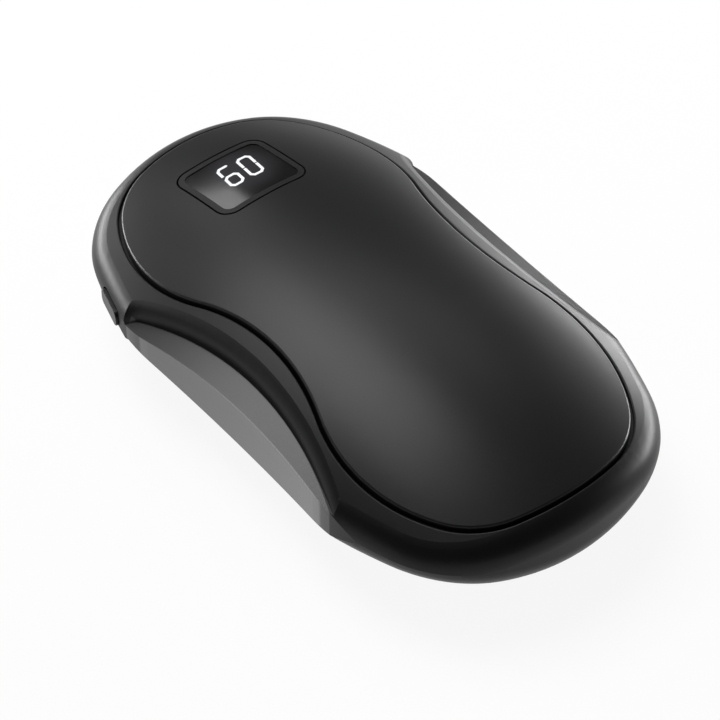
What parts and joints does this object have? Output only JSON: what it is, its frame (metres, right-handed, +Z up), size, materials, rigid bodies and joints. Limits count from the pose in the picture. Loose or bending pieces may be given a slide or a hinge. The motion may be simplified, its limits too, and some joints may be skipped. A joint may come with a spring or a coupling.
{
  "type": "rechargeable hand warmer",
  "caption": "Palm-sized pebble hand warmer with peanut-shaped heated plates on both sides, scooped grips, number display, side power button and USB-C charging socket.",
  "frame": {"origin": "centre of the overall box on the flat of the bottom plate that the warmer rests on", "axes": "+X is the way the display's digits read, +Y points at the display and socket end, +Z is up through the display plate"},
  "size_m": [0.0546, 0.097, 0.026],
  "materials": {
    "heated_plate": "satin dark grey anodised",
    "case_plastic": "satin black, moulded",
    "bezel_plastic": "satin dark grey",
    "window_gloss": "glossy smoked black",
    "lit_white": "glowing white",
    "button_plastic": "satin black",
    "dark_plastic": "black moulded",
    "white_plastic": "off-white nylon",
    "amber_film": "amber polyimide film",
    "pale_felt": "pale fibre felt",
    "soft_rubber": "black foam tape",
    "lead_sleeve": "red silicone sleeve",
    "cell_wrap": "silver grey pouch foil",
    "board_green": "green solder resist",
    "bare_steel": "plated",
    "ferrite": "dark grey ferrite"
  },
  "bodies": {
    "case": {"top_plate": "heated_plate", "bottom_plate": "heated_plate", "upper_frame": "case_plastic", "lower_frame": "case_plastic", "case_screws": "bare_steel", "top_plate_adhesive": "soft_rubber", "bottom_plate_adhesive": "soft_rubber", "display_bezel": "bezel_plastic", "display_window": "window_gloss", "display_digits": "lit_white", "display_module": "dark_plastic", "display_ribbon": "amber_film", "top_heater_film": "amber_film", "bottom_heater_film": "amber_film", "top_insulation_pad": "pale_felt", "bottom_insulation_pad": "pale_felt", "thermistors": "dark_plastic", "heater_connectors": "white_plastic", "heater_leads": "lead_sleeve", "battery_cell": "cell_wrap", "battery_tray": "dark_plastic", "battery_foam": "soft_rubber", "battery_connector": "white_plastic", "battery_leads": "lead_sleeve", "circuit_board": "board_green", "usb_socket_shell": "bare_steel", "usb_socket_tongue": "dark_plastic", "control_chip": "dark_plastic", "charge_inductor": "ferrite", "switch_body": "bare_steel"},
    "button": {"power_button": "button_plastic", "switch_plunger": "dark_plastic"}
  },
  "joints": [
    {"name": "button_press", "type": "slide", "parent": "case", "child": "button", "axis": [0.9633, -0.2686, 0], "range_m": [0, 0.00025], "stiffness_N_per_m": 4000}
  ]
}
